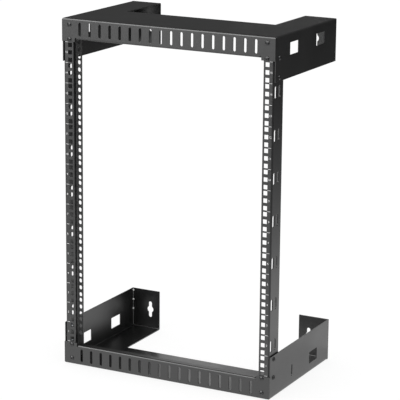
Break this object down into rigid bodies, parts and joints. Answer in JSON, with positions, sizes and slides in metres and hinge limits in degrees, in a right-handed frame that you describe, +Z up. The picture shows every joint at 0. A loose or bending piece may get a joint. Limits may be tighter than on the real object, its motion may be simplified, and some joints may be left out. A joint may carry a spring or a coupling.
{
  "type": "wall mount open frame rack",
  "caption": "Open two-post rack frame for 19 inch equipment: folded top and bottom brackets with wall flanges carry two slotted C-section posts with square rack holes.",
  "frame": {"origin": "middle of the footprint, at the underside of the lower bracket", "axes": "+X to the right seen from the front, +Y back to the wall, +Z up"},
  "size_m": [0.5078, 0.3059, 0.769],
  "materials": {
    "black_powder_coat": "fine satin black powder coat",
    "post_powder_coat": "fine satin black powder coat with printed unit marks",
    "black_screw": "black oxide, slightly glossy",
    "zinc_nut": "bright zinc plate"
  },
  "bodies": {
    "root": {"bottom_bracket": "black_powder_coat", "top_bracket": "black_powder_coat", "left_post": "post_powder_coat", "right_post": "post_powder_coat", "front_screws_bottom_left": "black_screw", "front_screws_bottom_right": "black_screw", "front_screws_top_left": "black_screw", "front_screws_top_right": "black_screw", "side_screws_bottom_left": "black_screw", "side_screws_bottom_right": "black_screw", "side_screws_top_left": "black_screw", "side_screws_top_right": "black_screw", "front_nuts_bottom_left": "zinc_nut", "front_nuts_bottom_right": "zinc_nut", "front_nuts_top_left": "zinc_nut", "front_nuts_top_right": "zinc_nut", "side_nuts_bottom_left": "zinc_nut", "side_nuts_bottom_right": "zinc_nut", "side_nuts_top_left": "zinc_nut", "side_nuts_top_right": "zinc_nut"}
  },
  "joints": []
}
